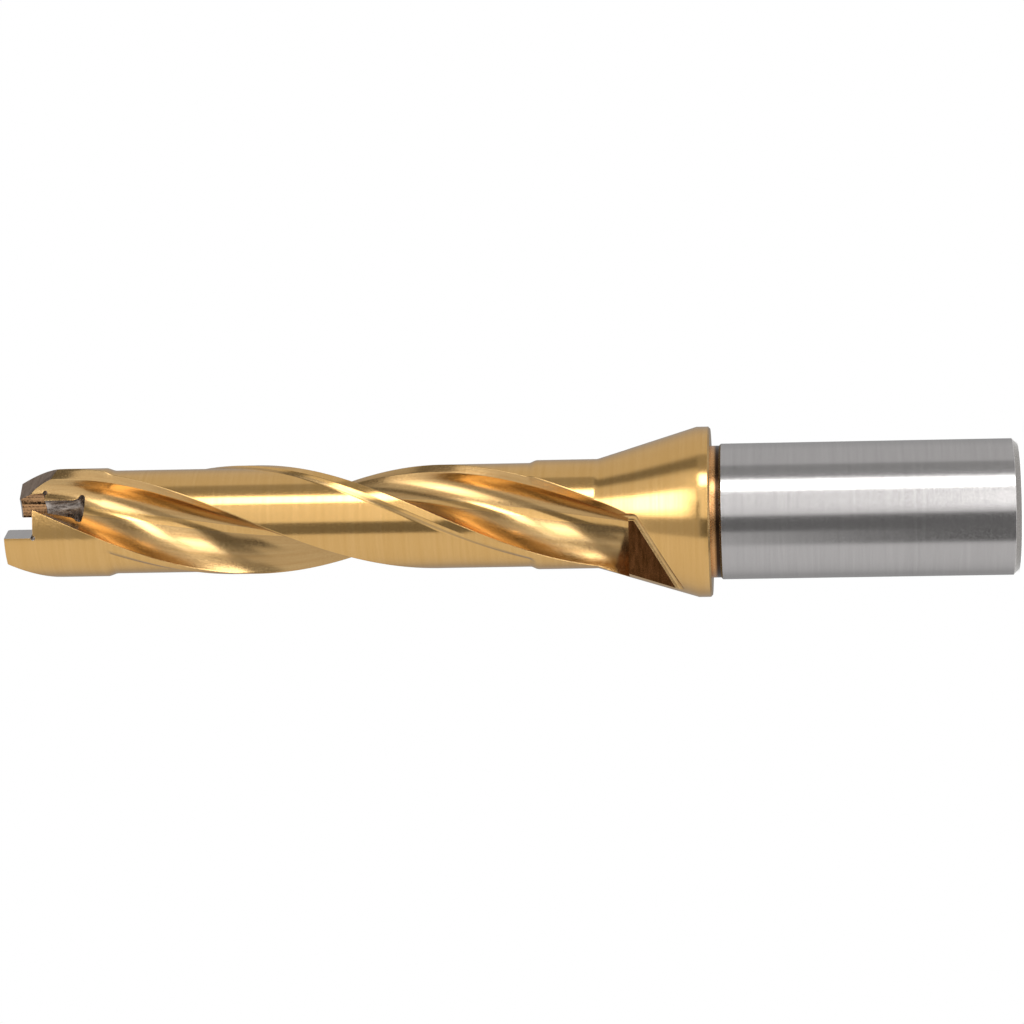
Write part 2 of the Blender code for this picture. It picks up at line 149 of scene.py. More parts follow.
def half_section():
    """Half a turn of the outline from a leading corner: rows of place, growth, relief and gash."""
    half = FLUTE_ANGLE / 2
    still = Vector((0, 0))
    corner = polar(BODY_RADIUS, -half)
    heel = polar(BODY_RADIUS, half)
    ridge = polar(HEEL_RIDGE_RADIUS, half - HEEL_BEVEL_ANGLE)
    corner_growth = polar(1, RAKE_ANGLE) / polar(1, RAKE_ANGLE).dot(corner.normalized())
    side_growth = corner_growth - corner.normalized()
    rows = []

    # Floor: a flat arc up to the leading corner, which runs into a round bottom
    centre = polar(FLOOR_RADIUS + WEB_THICKNESS / 2, FLOOR_TURN)
    facing = polar(1, FLANK_END_ANGLE)
    to_corner = corner - centre
    more = (to_corner.length_squared - FLOOR_RADIUS**2) / (2 * (FLOOR_RADIUS + to_corner.dot(facing)))
    flank_centre = centre + facing * more
    flank_start = direction_of(corner - flank_centre) % 360
    flank = arc(flank_centre, FLOOR_RADIUS + more, flank_start, 180 + FLANK_END_ANGLE, FLANK_STEPS)
    floor = [*flank, *arc(centre, FLOOR_RADIUS, 180 + FLANK_END_ANGLE, 180, FLOOR_STEPS)[1:]]

    # Leading edge, then the floor
    before = polar(BODY_RADIUS, -half - NEXT_POINT_ANGLE)
    for place in rounded(before, corner, floor[1], LEADING_EDGE_ROUNDING, LEADING_EDGE_STEPS):
        rows.append((place, corner_growth, 0.0, still))
    for place in floor[1:]:
        rows.append((place, still, 0.0, still))

    # Heel wall, which stands further back beside the seat, its ridge and the bevel above it
    touch = tangent_from(ridge, centre, FLOOR_RADIUS)
    bottom = arc(centre, FLOOR_RADIUS, 180, touch, BOTTOM_STEPS)[1:]
    plain = [*bottom, *(bottom[-1].lerp(ridge, share) for share in WALL_SHARES)]
    open_centre = Vector((floor[-1].x + GASH_FILLET, ridge.y + GASH_RISE - GASH_FILLET))
    open_touch = tangent_from(ridge, open_centre, GASH_FILLET)
    flat_end = open_centre - Vector((GASH_FILLET, 0))
    flat = [floor[-1].lerp(flat_end, i / GASH_FLAT_STEPS) for i in range(1, GASH_FLAT_STEPS)]
    bend = arc(open_centre, GASH_FILLET, 180, open_touch, GASH_BEND_STEPS)
    wide = [*flat, *bend, *(bend[-1].lerp(ridge, share) for share in WALL_SHARES)]
    for place, open_place in zip(plain, wide):
        rows.append((place, still, 0.0, open_place - place))
    for place in rounded(plain[-1], ridge, heel, HEEL_EDGE_ROUNDING, HEEL_EDGE_STEPS):
        rows.append((place, still, 0.0, still))
    for share in BEVEL_SHARES:
        rows.append((ridge.lerp(heel, share), heel.normalized() * share, share, still))

    # Heel edge, the relieved land, the slope up from it and the margin
    after = polar(BODY_RADIUS, half + NEXT_POINT_ANGLE)
    for place in rounded(ridge, heel, after, HEEL_EDGE_ROUNDING, HEEL_EDGE_STEPS):
        rows.append((place, heel.normalized(), 1.0, still))
    next_corner = 180 - half
    slope_top = next_corner - MARGIN_ANGLE
    slope_foot = slope_top - MARGIN_SLOPE_ANGLE
    land_start = half + LAND_START_ANGLE
    land_sweep = slope_foot - half - LAND_START_ANGLE
    land = [(land_start + land_sweep * i / LAND_STEPS, 1.0) for i in range(LAND_STEPS + 1)]
    slope = [(slope_foot + MARGIN_SLOPE_ANGLE * share, 1 - share) for share in SLOPE_SHARES]
    margin = [(slope_top + MARGIN_ANGLE * share, 0.0) for share in MARGIN_SHARES]
    for degrees, relief in [*land, *slope, *margin]:
        share = max(0, 1 - (next_corner - degrees) / RAKE_FADE_ANGLE)
        growth = polar(1, degrees) - side_growth * share
        rows.append((polar(BODY_RADIUS, degrees), growth, relief, still))
    return rows


STORED = (("growth", "FLOAT_VECTOR"), ("relief", "FLOAT"), ("gash", "FLOAT_VECTOR"))


def section_mesh():
    """Outline of the fluted body as one face, with what moves its points stored on them."""
    rows = half_section()
    rows += [(-place, -growth, relief, -gash) for place, growth, relief, gash in rows]
    mesh = bpy.data.meshes.new("section")
    mesh.from_pydata([(*row[0], 0) for row in rows], [], [range(len(rows))])
    for name, kind in STORED:
        mesh.attributes.new(name, kind, "POINT")
    for i, row in enumerate(rows):
        mesh.attributes["growth"].data[i].vector = (*row[1], 0)
        mesh.attributes["relief"].data[i].value = row[2]
        mesh.attributes["gash"].data[i].vector = (*row[3], 0)
    return mesh


def add_node(tree, kind, inputs, **settings):
    """Node with its settings, and its inputs set to values or linked to other nodes' outputs.

    Inputs of a node that share a name are given by their number.
    """
    made = tree.nodes.new(kind)
    for name, value in settings.items():
        setattr(made, name, value)
    for place, value in inputs.items():
        if isinstance(value, bpy.types.NodeSocket):
            tree.links.new(value, made.inputs[place])
        else:
            made.inputs[place].default_value = value
    return made


BODY_INPUTS = {
    "Lead": LEAD,
    "Tip": TIP,
    "Flute end": FLUTE_END,
    "Turn at the tip": math.radians(LEADING_CORNER_ANGLE + FLUTE_ANGLE / 2),
    "Cone top": CONE_TOP,
    "Cone slope": CONE_SLOPE,
    "Relief depth": RELIEF_DEPTH,
    "Relief front": TIP - HEAD_LENGTH,
    "Front ramp": FRONT_RAMP_LENGTH,
    "Relief rear": CONE_TOP + REAR_LENGTH,
    "Rear ramp": REAR_RAMP_LENGTH,
    "Gash full depth": GASH_FULL_DEPTH,
    "Gash end depth": GASH_END_DEPTH,
}


def place_tree():
    """Group that gives a point of the section its place at a height."""
    tree = bpy.data.node_groups.new("Point of the twisted section", "GeometryNodeTree")
    for name, kind in (
        ("Section", "NodeSocketGeometry"),
        ("Index", "NodeSocketInt"),
        ("Height", "NodeSocketFloat"),
        *((name, "NodeSocketFloat") for name in BODY_INPUTS),
    ):
        tree.interface.new_socket(name, in_out="INPUT", socket_type=kind)
    tree.interface.new_socket("Place", in_out="OUTPUT", socket_type="NodeSocketVector")
    given = tree.nodes.new("NodeGroupInput").outputs

    stored = {}
    for name, kind in STORED:
        value = add_node(
            tree, "GeometryNodeInputNamedAttribute", {"Name": name}, data_type=kind
        ).outputs[0]
        stored[name] = add_node(
            tree,
            "GeometryNodeSampleIndex",
            {0: given["Section"], "Value": value, "Index": given["Index"]},
            data_type=kind,
        ).outputs[0]
    value = tree.nodes.new("GeometryNodeInputPosition").outputs[0]
    place = add_node(
        tree,
        "GeometryNodeSampleIndex",
        {0: given["Section"], "Value": value, "Index": given["Index"]},
        data_type="FLOAT_VECTOR",
    ).outputs[0]

    # Beside the seat the heel wall stands back
    depth = add_node(
        tree, "ShaderNodeMath", {0: given["Tip"], 1: given["Height"]}, operation="SUBTRACT"
    ).outputs[0]
    gash = add_node(
        tree,
        "ShaderNodeMapRange",
        {"Value": depth, 1: given["Gash full depth"], 2: given["Gash end depth"], 3: 1.0, 4: 0.0},
    ).outputs[0]
    place = add_node(
        tree,
        "ShaderNodeVectorMath",
        {0: stored["gash"], 1: gash, 2: place},
        operation="MULTIPLY_ADD",
    ).outputs[0]

    # The lands are ground down between the two ramps
    front = add_node(
        tree,
        "ShaderNodeMath",
        {0: given["Relief front"], 1: given["Height"]},
        operation="SUBTRACT",
    ).outputs[0]
    rear = add_node(
        tree, "ShaderNodeMath", {0: given["Height"], 1: given["Relief rear"]}, operation="SUBTRACT"
    ).outputs[0]
    shares = [
        add_node(
            tree, "ShaderNodeMath", {0: end, 1: ramp}, operation="DIVIDE", use_clamp=True
        ).outputs[0]
        for end, ramp in ((front, given["Front ramp"]), (rear, given["Rear ramp"]))
    ]
    share = add_node(
        tree, "ShaderNodeMath", {0: shares[0], 1: shares[1]}, operation="MULTIPLY"
    ).outputs[0]
    ground = add_node(
        tree, "ShaderNodeMath", {0: share, 1: given["Relief depth"]}, operation="MULTIPLY"
    ).outputs[0]
    ground = add_node(
        tree, "ShaderNodeMath", {0: ground, 1: stored["relief"]}, operation="MULTIPLY"
    ).outputs[0]
    outward = add_node(tree, "ShaderNodeVectorMath", {0: place}, operation="NORMALIZE").outputs[0]
    inward = add_node(
        tree, "ShaderNodeVectorMath", {0: outward, "Scale": ground}, operation="SCALE"
    ).outputs[0]
    place = add_node(tree, "ShaderNodeVectorMath", {0: place, 1: inward}, operation="SUBTRACT").outputs[0]

    # In the cone the lands stand further out
    fall = add_node(
        tree, "ShaderNodeMath", {0: given["Cone top"], 1: given["Height"]}, operation="SUBTRACT"
    ).outputs[0]
    fall = add_node(tree, "ShaderNodeMath", {0: fall, 1: 0.0}, operation="MAXIMUM").outputs[0]
    wider = add_node(
        tree, "ShaderNodeMath", {0: fall, 1: given["Cone slope"]}, operation="MULTIPLY"
    ).outputs[0]
    place = add_node(
        tree,
        "ShaderNodeVectorMath",
        {0: stored["growth"], 1: wider, 2: place},
        operation="MULTIPLY_ADD",
    ).outputs[0]

    # The section rises and turns by one round in each lead
    rise = add_node(tree, "ShaderNodeCombineXYZ", {"Z": given["Height"]}).outputs[0]
    place = add_node(tree, "ShaderNodeVectorMath", {0: place, 1: rise}, operation="ADD").outputs[0]
    rounds = add_node(tree, "ShaderNodeMath", {0: depth, 1: given["Lead"]}, operation="DIVIDE").outputs[0]
    turn = add_node(
        tree,
        "ShaderNodeMath",
        {0: rounds, 1: -2 * math.pi, 2: given["Turn at the tip"]},
        operation="MULTIPLY_ADD",
    ).outputs[0]
    place = add_node(
        tree,
        "ShaderNodeVectorRotate",
        {"Vector": place, "Angle": turn},
        rotation_type="Z_AXIS",
    ).outputs[0]
    end = tree.nodes.new("NodeGroupOutput")
    tree.links.new(place, end.inputs["Place"])
    return tree


SEAM_DISTANCE = 0.000001


def twisted_body_tree():
    """Tree that carries the section up the bar and closes both ends."""
    tree = bpy.data.node_groups.new("Fluted body", "GeometryNodeTree")
    tree.interface.new_socket("Section", in_out="INPUT", socket_type="NodeSocketGeometry")
    for name, value in BODY_INPUTS.items():
        socket = tree.interface.new_socket(name, in_out="INPUT", socket_type="NodeSocketFloat")
        socket.default_value = value
    tree.interface.new_socket("Levels", in_out="INPUT", socket_type="NodeSocketInt")
    tree.interface.new_socket("Finish", in_out="INPUT", socket_type="NodeSocketMaterial")
    tree.interface.new_socket("Body", in_out="OUTPUT", socket_type="NodeSocketGeometry")
    given = tree.nodes.new("NodeGroupInput").outputs
    group = place_tree()

    def place_at(index, height):
        sizes = {name: given[name] for name in BODY_INPUTS}
        inputs = {"Section": given["Section"], "Index": index, "Height": height, **sizes}
        call = tree.nodes.new("GeometryNodeGroup")
        call.node_tree = group
        for name, value in inputs.items():
            tree.links.new(value, call.inputs[name])
        return call.outputs["Place"]

    # Wall: a grid with a column for each point of the outline, and one more that closes it
    count = add_node(tree, "GeometryNodeAttributeDomainSize", {0: given["Section"]}).outputs["Point Count"]
    columns = add_node(tree, "ShaderNodeMath", {0: count, 1: 1.0}, operation="ADD").outputs[0]
    grid = add_node(
        tree,
        "GeometryNodeMeshGrid",
        {"Size X": count, "Size Y": 1.0, "Vertices X": columns, "Vertices Y": given["Levels"]},
    ).outputs["Mesh"]
    at = tree.nodes.new("GeometryNodeInputPosition").outputs[0]
    at = add_node(tree, "ShaderNodeSeparateXYZ", {0: at})
    column = add_node(
        tree, "ShaderNodeMath", {0: count, 1: 0.5, 2: at.outputs["X"]}, operation="MULTIPLY_ADD"
    ).outputs[0]
    column = add_node(tree, "ShaderNodeMath", {0: column}, operation="ROUND").outputs[0]
    column = add_node(tree, "ShaderNodeMath", {0: column, 1: count}, operation="FLOORED_MODULO").outputs[0]
    height = add_node(
        tree,
        "ShaderNodeMapRange",
        {"Value": at.outputs["Y"], 1: -0.5, 2: 0.5, 3: given["Flute end"], 4: given["Tip"]},
    ).outputs[0]
    wall = add_node(
        tree, "GeometryNodeSetPosition", {0: grid, "Position": place_at(column, height)}
    ).outputs[0]

    # Ends: the section's own face, at each end of the bar
    index = tree.nodes.new("GeometryNodeInputIndex").outputs[0]
    ends = [
        add_node(
            tree,
            "GeometryNodeSetPosition",
            {0: given["Section"], "Position": place_at(index, given[level])},
        ).outputs[0]
        for level in ("Flute end", "Tip")
    ]
    foot = add_node(tree, "GeometryNodeFlipFaces", {0: ends[0]}).outputs[0]
    joined = tree.nodes.new("GeometryNodeJoinGeometry")
    for part in (wall, foot, ends[1]):
        tree.links.new(part, joined.inputs[0])
    closed = add_node(
        tree, "GeometryNodeMergeByDistance", {0: joined.outputs[0], "Distance": SEAM_DISTANCE}
    ).outputs[0]
    real = add_node(tree, "GeometryNodeRealizeInstances", {0: closed}).outputs[0]
    finished = add_node(
        tree, "GeometryNodeSetMaterial", {0: real, "Material": given["Finish"]}
    ).outputs[0]
    end = tree.nodes.new("NodeGroupOutput")
    tree.links.new(finished, end.inputs[0])
    return tree


def new_object(name, mesh):
    """Object for a mesh, linked to the scene."""
    obj = bpy.data.objects.new(name, mesh)
    bpy.context.scene.collection.objects.link(obj)
    return obj


# Metal finishes. Real tool lines lie about 0.05 mm apart, and are drawn coarser here so that they
# show. The coating's own grain is finer too. Broken edges are rounded in the shading alone.
LINE_PITCH = 0.00012
GRAIN_SIZE = 0.00035
GRAIN_SHARE = 0.5
GRAIN_RANGE = (0.3, 0.7)
EDGE_BREAK = 0.00013
ROUND_THE_BAR = (0.03, 0.03, 1)
ALONG_THE_BAR = (1, 1, 0.03)


def from_hex(code):
    """Linear colour of an sRGB hex code."""
    parts = [int(code[i : i + 2], 16) / 255 for i in (0, 2, 4)]
    return (*[c / 12.92 if c <= 0.04045 else ((c + 0.055) / 1.055) ** 2.4 for c in parts], 1)


def machined(
    name, colours, roughness, line_height, grain_height, stain_size, spread, drawn=ROUND_THE_BAR, twist=0.0
):
    """Metal between two colours, with fine tool lines, an uneven grain and a faint stain.

    The lines and the stain are stretched along the axes where drawn is small, and turn round the
    bar by twist degrees in each metre.
    """
    finish = bpy.data.materials.new(name)
    finish.use_nodes = True
    tree = finish.node_tree
    shader = tree.nodes["Principled BSDF"]
    shader.inputs["Metallic"].default_value = 1

    place = add_node(tree, "ShaderNodeTexCoord", {}).outputs["Object"]
    along = add_node(tree, "ShaderNodeSeparateXYZ", {0: place}).outputs["Z"]
    turn = add_node(
        tree, "ShaderNodeMath", {0: along, 1: -math.radians(twist)}, operation="MULTIPLY"
    ).outputs[0]
    unwound = add_node(
        tree, "ShaderNodeVectorRotate", {"Vector": place, "Angle": turn}, rotation_type="Z_AXIS"
    ).outputs[0]
    stretched = add_node(
        tree, "ShaderNodeVectorMath", {0: unwound, 1: drawn}, operation="MULTIPLY"
    ).outputs[0]
    lines = add_node(
        tree,
        "ShaderNodeTexNoise",
        {"Vector": stretched, "Scale": 1 / LINE_PITCH, "Detail": 3.0, "Roughness": 0.6},
    ).outputs[0]
    grain = add_node(
        tree,
        "ShaderNodeTexNoise",
        {"Vector": place, "Scale": 1 / GRAIN_SIZE, "Detail": 3.0, "Roughness": 0.65},
    ).outputs[0]
    stain = add_node(
        tree,
        "ShaderNodeTexNoise",
        {"Vector": stretched, "Scale": 1 / stain_size, "Detail": 4.0, "Roughness": 0.6},
    ).outputs[0]

    # Noise lies round 0.5, so the stain with its share of grain lies round this mean
    mean = (1 + GRAIN_SHARE) / 2
    mixed = add_node(
        tree, "ShaderNodeMath", {0: grain, 1: GRAIN_SHARE, 2: stain}, operation="MULTIPLY_ADD"
    ).outputs[0]
    mixed = add_node(
        tree, "ShaderNodeMapRange", {"Value": mixed, 1: mean - spread, 2: mean + spread}
    ).outputs[0]
    colour = add_node(
        tree,
        "ShaderNodeMix",
        {0: mixed, 6: from_hex(colours[0]), 7: from_hex(colours[1])},
        data_type="RGBA",
    ).outputs[2]
    tree.links.new(colour, shader.inputs["Base Color"])
    dull = add_node(
        tree,
        "ShaderNodeMapRange",
        {"Value": grain, 1: GRAIN_RANGE[0], 2: GRAIN_RANGE[1], 3: roughness[0], 4: roughness[1]},
    ).outputs[0]
    tree.links.new(dull, shader.inputs["Roughness"])

    bump = add_node(tree, "ShaderNodeBevel", {"Radius": EDGE_BREAK}, samples=6).outputs[0]
    for relief, pattern in ((line_height, lines), (grain_height, grain)):
        bump = add_node(
            tree,
            "ShaderNodeBump",
            {"Strength": 1.0, "Distance": relief, "Height": pattern, "Normal": bump},
        ).outputs[0]
    tree.links.new(bump, shader.inputs["Normal"])
    return finish


# Titanium nitride over turned steel: a warm gold mirror, with soft bands and rings round the bar
gold = machined(
    "Titanium nitride on turned steel",
    colours=("E8B870", "F0C27E"),
    roughness=(0.12, 0.19),
    line_height=0.6e-6,
    grain_height=2.2e-6,
    stain_size=0.0006,
    spread=0.25,
)
# The same coating over ground flutes: a little duller and deeper, with lines that follow the flutes
fluted = machined(
    "Titanium nitride on flutes ground lengthwise",
    colours=("C49B64", "DAB67E"),
    roughness=(0.15, 0.26),
    line_height=1.4e-6,
    grain_height=5.0e-6,
    stain_size=0.0012,
    spread=0.25,
    drawn=ALONG_THE_BAR,
    twist=TWIST,
)

body = new_object("drill_body_coated", section_mesh())
flutes = body.modifiers.new("Fluted body", "NODES")
flutes.node_group = twisted_body_tree()
sockets = {
    item.name: item.identifier
    for item in flutes.node_group.interface.items_tree
    if item.in_out == "INPUT"
}
for name, value in BODY_INPUTS.items():
    flutes[sockets[name]] = value
flutes[sockets["Levels"]] = FLUTE_LEVELS
flutes[sockets["Finish"]] = gold

# Turned bar below the flutes: the rest of the coated cone, the flange and the undercut, and the
# shank, which is ground bare after the coating. The flange's back bears on its outer ring alone.
SHANK_RADIUS = 0.0125
SHANK_FRONT_CHAMFER = 0.00035
SHANK_END_CHAMFER = 0.001
UNDERCUT_RADIUS = 0.01215
UNDERCUT_WIDTH = 0.0016
UNDERCUT_FOOT = SHANK_LENGTH - UNDERCUT_WIDTH
FLANGE_CHAMFER = 0.00035
FLANGE_BEARING_INNER_RADIUS = 0.0128
FLANGE_FACE_RELIEF = 0.0001
LATHE_STEPS = 256

# Bare ground steel: a pale, cool mirror with faint rings
shank = machined(
    "Bare steel, ground round",
    colours=("BFBCBB", "C9C6C5"),
    roughness=(0.15, 0.22),
    line_height=0.5e-6,
    grain_height=2.0e-6,
    stain_size=0.0006,
    spread=0.3,
)
# Chamfers left as turned: the same steel, duller, and a darker grey that is partly painted shade
chamfer = machined(
    "Bare steel, turned dull, partly darkened as painted shade",
    colours=("85827F", "93908D"),
    roughness=(0.22, 0.3),
    line_height=0.8e-6,
    grain_height=2.0e-6,
    stain_size=0.0006,
    spread=0.25,
)
# Undercut that the coating reaches thinly: coppery, with painted shade that darkens it toward the shank
undercut = machined(
    "Thin titanium nitride on a turned undercut",
    colours=("D0935A", "F4C48C"),
    roughness=(0.22, 0.32),
    line_height=1.0e-6,
    grain_height=1.5e-6,
    stain_size=0.001,
    spread=0.25,
)
# Painted shade: the undercut turns dark brown toward the shank. It is fully dark below the first height
# above its foot, and plain above the second.
PAINTED_SHADE_DARK_TO = 0.0005
PAINTED_SHADE_CLEAR_FROM = 0.0010
tree = undercut.node_tree
shader = tree.nodes["Principled BSDF"]
coated = shader.inputs["Base Color"].links[0].from_socket
place = add_node(tree, "ShaderNodeTexCoord", {}).outputs["Object"]
along = add_node(tree, "ShaderNodeSeparateXYZ", {0: place}).outputs["Z"]
share = add_node(
    tree,
    "ShaderNodeMapRange",
    {"Value": along, 1: UNDERCUT_FOOT + PAINTED_SHADE_DARK_TO, 2: UNDERCUT_FOOT + PAINTED_SHADE_CLEAR_FROM},
).outputs[0]
# The painted shade is mixed over the coating's own colour
colour = add_node(
    tree, "ShaderNodeMix", {0: share, 6: from_hex("3E2C20"), 7: coated}, data_type="RGBA"
).outputs[2]
tree.links.new(colour, shader.inputs["Base Color"])


def solid(name, rings, finish):
    """Object lofted through rings of points, or between single points at its poles."""
    verts = [tuple(point) for ring in rings for point in ring]
    faces = []
    base = 0
    for lower, upper in zip(rings, rings[1:]):
        above = base + len(lower)
        for i in range(max(len(lower), len(upper))):
            j = i + 1
            corners = [base + i % len(lower), base + j % len(lower)]
            corners += [above + j % len(upper), above + i % len(upper)]
            faces.append(list(dict.fromkeys(corners)))
        base = above
    if len(rings[0]) > 1:
        faces.append(list(range(len(rings[0]))))
    if len(rings[-1]) > 1:
        faces.append(list(range(base, len(verts))))
    mesh = bpy.data.meshes.new(name)
    mesh.from_pydata(verts, [], faces)
    mesh.materials.append(finish)
    bm = bmesh.new()
    bm.from_mesh(mesh)
    bmesh.ops.recalc_face_normals(bm, faces=bm.faces[:])
    bm.to_mesh(mesh)
    bm.free()
    return new_object(name, mesh)


def lathe(name, profile, finish, steps=LATHE_STEPS):
    """Solid of revolution round the drill's axis from (radius, height) points."""
    rings = []
    for radius, height in profile:
        if radius == 0:
            rings.append([(0, 0, height)])
        else:
            turns = [polar(radius, 360 * i / steps) for i in range(steps)]
            rings.append([(place.x, place.y, height) for place in turns])
    return solid(name, rings, finish)


tools = []


def boolean(cutter, operation="DIFFERENCE"):
    """Boolean of the body with another solid, whose finish its cut faces take."""
    modifier = body.modifiers.new(cutter.name, "BOOLEAN")
    modifier.operation = operation
    modifier.solver = "EXACT"
    modifier.material_mode = "TRANSFER"
    modifier.object = cutter
    tools.append(cutter)


bar = lathe(
    "turned_bar",
    [
        (0, FLUTE_END),
        (FLANGE_RADIUS - (FLUTE_END - FLANGE_FRONT) * CONE_SLOPE, FLUTE_END),
        (FLANGE_RADIUS, FLANGE_FRONT),
        (FLANGE_RADIUS, SHANK_LENGTH + FLANGE_CHAMFER),
        (FLANGE_RADIUS - FLANGE_CHAMFER, SHANK_LENGTH),
        (FLANGE_BEARING_INNER_RADIUS, SHANK_LENGTH),
        (UNDERCUT_RADIUS, SHANK_LENGTH + FLANGE_FACE_RELIEF),
        (UNDERCUT_RADIUS, UNDERCUT_FOOT),
        (SHANK_RADIUS - SHANK_FRONT_CHAMFER, UNDERCUT_FOOT),
        (SHANK_RADIUS, UNDERCUT_FOOT - SHANK_FRONT_CHAMFER),
        (SHANK_RADIUS, SHANK_END_CHAMFER),
        (SHANK_RADIUS - SHANK_END_CHAMFER, 0),
        (0, 0),
    ],
    gold,
)
boolean(bar, "UNION")

# Pocket at the end of each flute, milled into the cone before the coating: a flat floor with a
# fillet round it, a slanted wall toward the shank, and a rounded corner beside the flute.
POCKET_TURN = 44.2
POCKET_FLOOR_HEIGHT = 0.004
POCKET_TOP_SIDE = -0.0001
POCKET_LENGTH = 0.0017
POCKET_WALL_ANGLE = 58.8
POCKET_CORNER_RADIUS = 0.0016
POCKET_CORNER_STEPS = 16
POCKET_FILLET = 0.0013
POCKET_FILLET_STEPS = 12
CLEARANCE = 0.002
REACH = FLANGE_RADIUS + CLEARANCE

# The pocket's floor and the wall that ends the flute mirror only dark parts, and that dark is painted into
# their coating as a deep brown shade
pocket_gold_painted_dark = machined(
    "Titanium nitride, dark, on a milled pocket floor",
    colours=("40260F", "5E3B20"),
    roughness=(0.2, 0.3),
    line_height=1.0e-6,
    grain_height=2.4e-6,
    stain_size=0.0006,
    spread=0.2,
    drawn=(0.2, 1, 1),
)


def pocket_outline(inset):
    """Outline of the pocket drawn in by a distance: a rounded corner, then three sharp ones."""
    wall = math.radians(POCKET_WALL_ANGLE)
    corner = Vector((POCKET_TOP_SIDE, FLUTE_END - POCKET_LENGTH))
    lift = POCKET_CORNER_RADIUS * (1 - math.cos(wall)) / math.sin(wall)
    centre = corner + Vector((-POCKET_CORNER_RADIUS, lift))
    bend = arc(centre, POCKET_CORNER_RADIUS - inset, -POCKET_WALL_ANGLE, 0, POCKET_CORNER_STEPS)
    top = FLUTE_END + CLEARANCE - inset
    foot = corner + Vector((-math.cos(wall), math.sin(wall))) * inset
    far = -REACH + inset
    low = foot.y - (foot.x - far) / math.tan(wall)
    return [*bend, Vector((POCKET_TOP_SIDE - inset, top)), Vector((far, top)), Vector((far, low))]


for side in (0, 180):
    facing = LEADING_CORNER_ANGLE + FLUTE_ANGLE / 2 - FLUTE_LENGTH * TWIST + POCKET_TURN + side
    rings = []
    for i in range(POCKET_FILLET_STEPS + 1):
        bend = math.radians(90 * i / POCKET_FILLET_STEPS)
        height = POCKET_FLOOR_HEIGHT + POCKET_FILLET * (1 - math.cos(bend))
        outline = pocket_outline(POCKET_FILLET * (1 - math.sin(bend)))
        rings.append([(height, point.x, point.y) for point in outline])
    rings.append([(REACH, point.x, point.y) for point in pocket_outline(0)])
    pocket = solid("pocket", rings, gold)
    pocket.matrix_world = Matrix.Rotation(math.radians(facing), 4, "Z")
    boolean(pocket)

# Seat for the head: a turned recess with a relief groove, the bore for the head's stem, and an open
# side in front of each jaw's drive face, whose heel has a flat. All of it is cut after the coating,
# so the steel is bare.
SEAT_DEPTH = 0.0054
SEAT_FLOOR = TIP - SEAT_DEPTH
SEAT_RADIUS = 0.0059
SEAT_CHAMFER = 0.0003
SEAT_GROOVE_RADIUS = 0.00045
SEAT_GROOVE_STEPS = 24
SEAT_LATHE_STEPS = 128
BORE_RADIUS = 0.00425
BORE_DEPTH = 0.0135
BORE_GROOVE_RADIUS = 0.0052
BORE_GROOVE_WIDTH = 0.0008
BORE_FLARE_LENGTH = 0.0014
BORE_FLARE_BOW = 0.25
BORE_CHAMFER = 0.0003
DRIVE_FACE_BEHIND_CORNER = 50.2
DRIVE_FACE_OFFSET = 0.00113
DRIVE_GROOVE_RADIUS = 0.00045
OPEN_SIDE_STEPS = 24
HEEL_FLAT_ANGLE = 16.7
HEEL_FLAT_LEAN = 37.2

# Bare milled steel: cream, blotched brown with oil, and rougher than the shank
bare = machined(
    "Bare steel, milled, with oil stains",
    colours=("54453D", "E8DCD2"),
    roughness=(0.2, 0.34),
    line_height=1.5e-6,
    grain_height=5.0e-6,
    stain_size=0.0007,
    spread=0.2,
    drawn=(1, 1, 0.3),
)
# Seat wall: near black and coppery streaks along the bar, painted reflections of the dark surroundings and
# of the gold jaws
seat_wall = machined(
    "Bare steel, with streaks of painted reflection",
    colours=("160A06", "D2A172"),
    roughness=(0.12, 0.3),
    line_height=2.0e-6,
    grain_height=4.0e-6,
    stain_size=0.0006,
    spread=0.1,
    drawn=ALONG_THE_BAR,
)
# Flat ground on the heel of each jaw: a dull brownish grey that mirrors little
heel = machined(
    "Bare steel, ground dull on the heel",
    colours=("9A8472", "BCA694"),
    roughness=(0.28, 0.4),
    line_height=1.5e-6,
    grain_height=3.0e-6,
    stain_size=0.0009,
    spread=0.2,
    drawn=(0.1, 1, 1),
)

bore_end = TIP - BORE_DEPTH
groove_top = bore_end + BORE_GROOVE_WIDTH
flare_radius = BORE_RADIUS + (BORE_GROOVE_RADIUS - BORE_RADIUS) * BORE_FLARE_BOW
recess = lathe(
    "seat",
    [
        (0, TIP + CLEARANCE),
        (SEAT_RADIUS + SEAT_CHAMFER + CLEARANCE, TIP + CLEARANCE),
        (SEAT_RADIUS, TIP - SEAT_CHAMFER),
        (SEAT_RADIUS, SEAT_FLOOR + SEAT_GROOVE_RADIUS),
        *arc(Vector((SEAT_RADIUS, SEAT_FLOOR)), SEAT_GROOVE_RADIUS, 90, -180, SEAT_GROOVE_STEPS)[1:],
        (BORE_RADIUS, SEAT_FLOOR),
        (BORE_RADIUS, groove_top + BORE_FLARE_LENGTH),
        (flare_radius, groove_top + BORE_FLARE_LENGTH / 2),
        (BORE_GROOVE_RADIUS, groove_top),
        (BORE_GROOVE_RADIUS, bore_end + BORE_CHAMFER),
        (BORE_GROOVE_RADIUS - BORE_CHAMFER, bore_end),
        (0, bore_end),
    ],
    bare,
    steps=SEAT_LATHE_STEPS,
)
boolean(recess)


def circle(centre, radius, count=24):
    """Points round a circle."""
    return arc(centre, radius, 0, 360 - 360 / count, count - 1)


